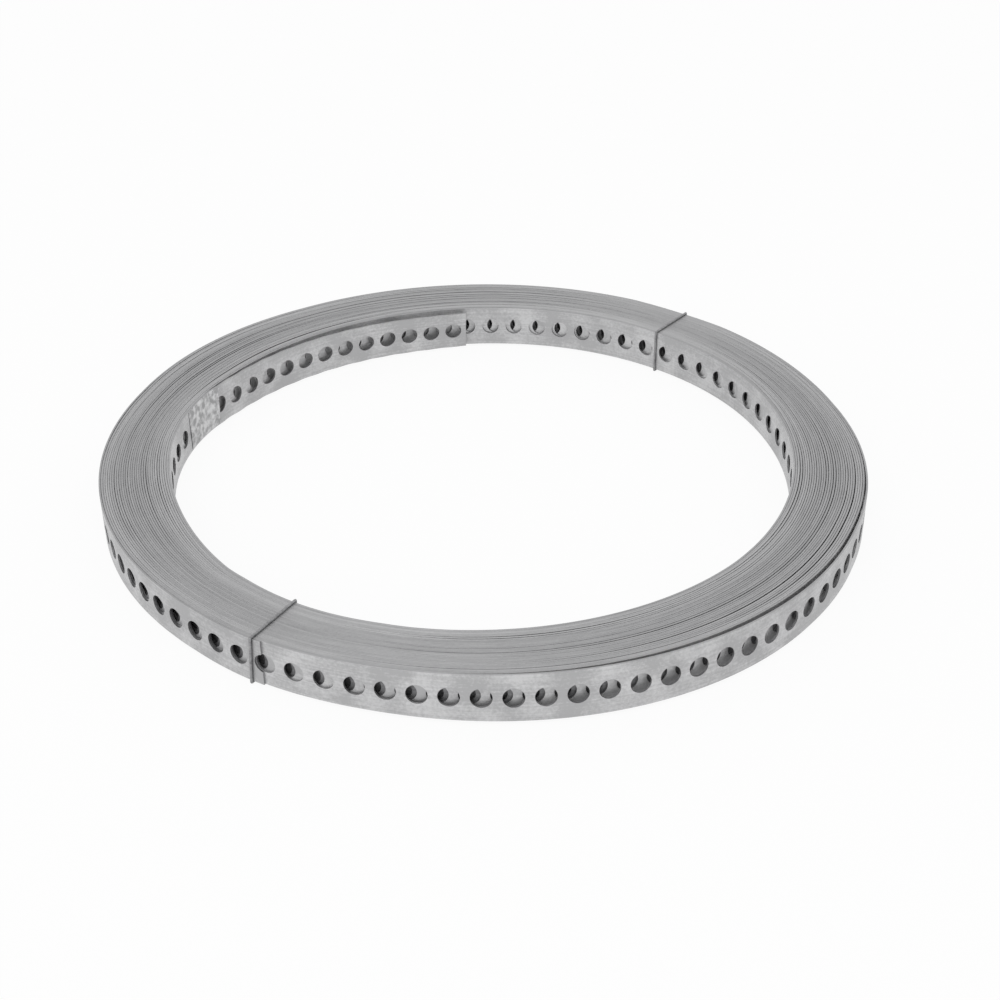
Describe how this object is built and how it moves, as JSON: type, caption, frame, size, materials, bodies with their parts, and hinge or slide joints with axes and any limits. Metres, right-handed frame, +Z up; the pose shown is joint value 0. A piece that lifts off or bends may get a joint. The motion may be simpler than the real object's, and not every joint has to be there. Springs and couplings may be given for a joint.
{
  "type": "roll of perforated metal strap",
  "caption": "Flat roll of narrow galvanised steel strap with a row of round holes: spiral turns, a loose outer turn, a sprung inner end, wire ties and a small paper label.",
  "frame": {"origin": "middle of the roll's outline on the floor it lies on", "axes": "+Z up, along the roll's axis; +Y away from the camera, so that the outer end of the strap and the front tie are at -Y and the sprung inner end is at +Y"},
  "size_m": [0.282, 0.281, 0.0189],
  "materials": {
    "galvanised_steel": "satin",
    "tie_wire": "satin",
    "label_paper": "matte"
  },
  "bodies": {
    "root": {"strap_coil": "galvanised_steel", "wire_tie_front": "tie_wire", "wire_tie_rear": "tie_wire", "label": "label_paper"}
  },
  "joints": []
}
